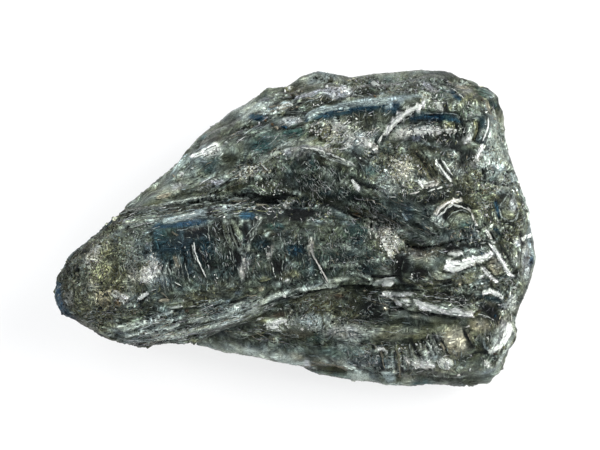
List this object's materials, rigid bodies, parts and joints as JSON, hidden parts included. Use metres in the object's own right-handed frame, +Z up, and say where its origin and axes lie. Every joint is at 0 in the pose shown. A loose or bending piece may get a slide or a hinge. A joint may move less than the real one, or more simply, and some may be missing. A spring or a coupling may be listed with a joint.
{
  "type": "cylindrite specimen",
  "caption": "Small broken piece of metallic grey mineral: a bundle of bent cylindrical crystals grown together, one thick barrel lying across the top, resting on its rough flat base.",
  "frame": {"origin": "bottom centre of the bounding box, on the surface the specimen rests on", "axes": "+X runs along the crystal bundle from the thick barrel's broken tip to the wide broken end, +Y to the back ridge, +Z up"},
  "size_m": [0.0318, 0.0216, 0.0108],
  "materials": {
    "cylindrite": "blackish lead-grey metallic lustre, striated and flaky, with dull granular broken ends"
  },
  "bodies": {
    "root": {"cylindrite": "cylindrite"}
  },
  "joints": []
}
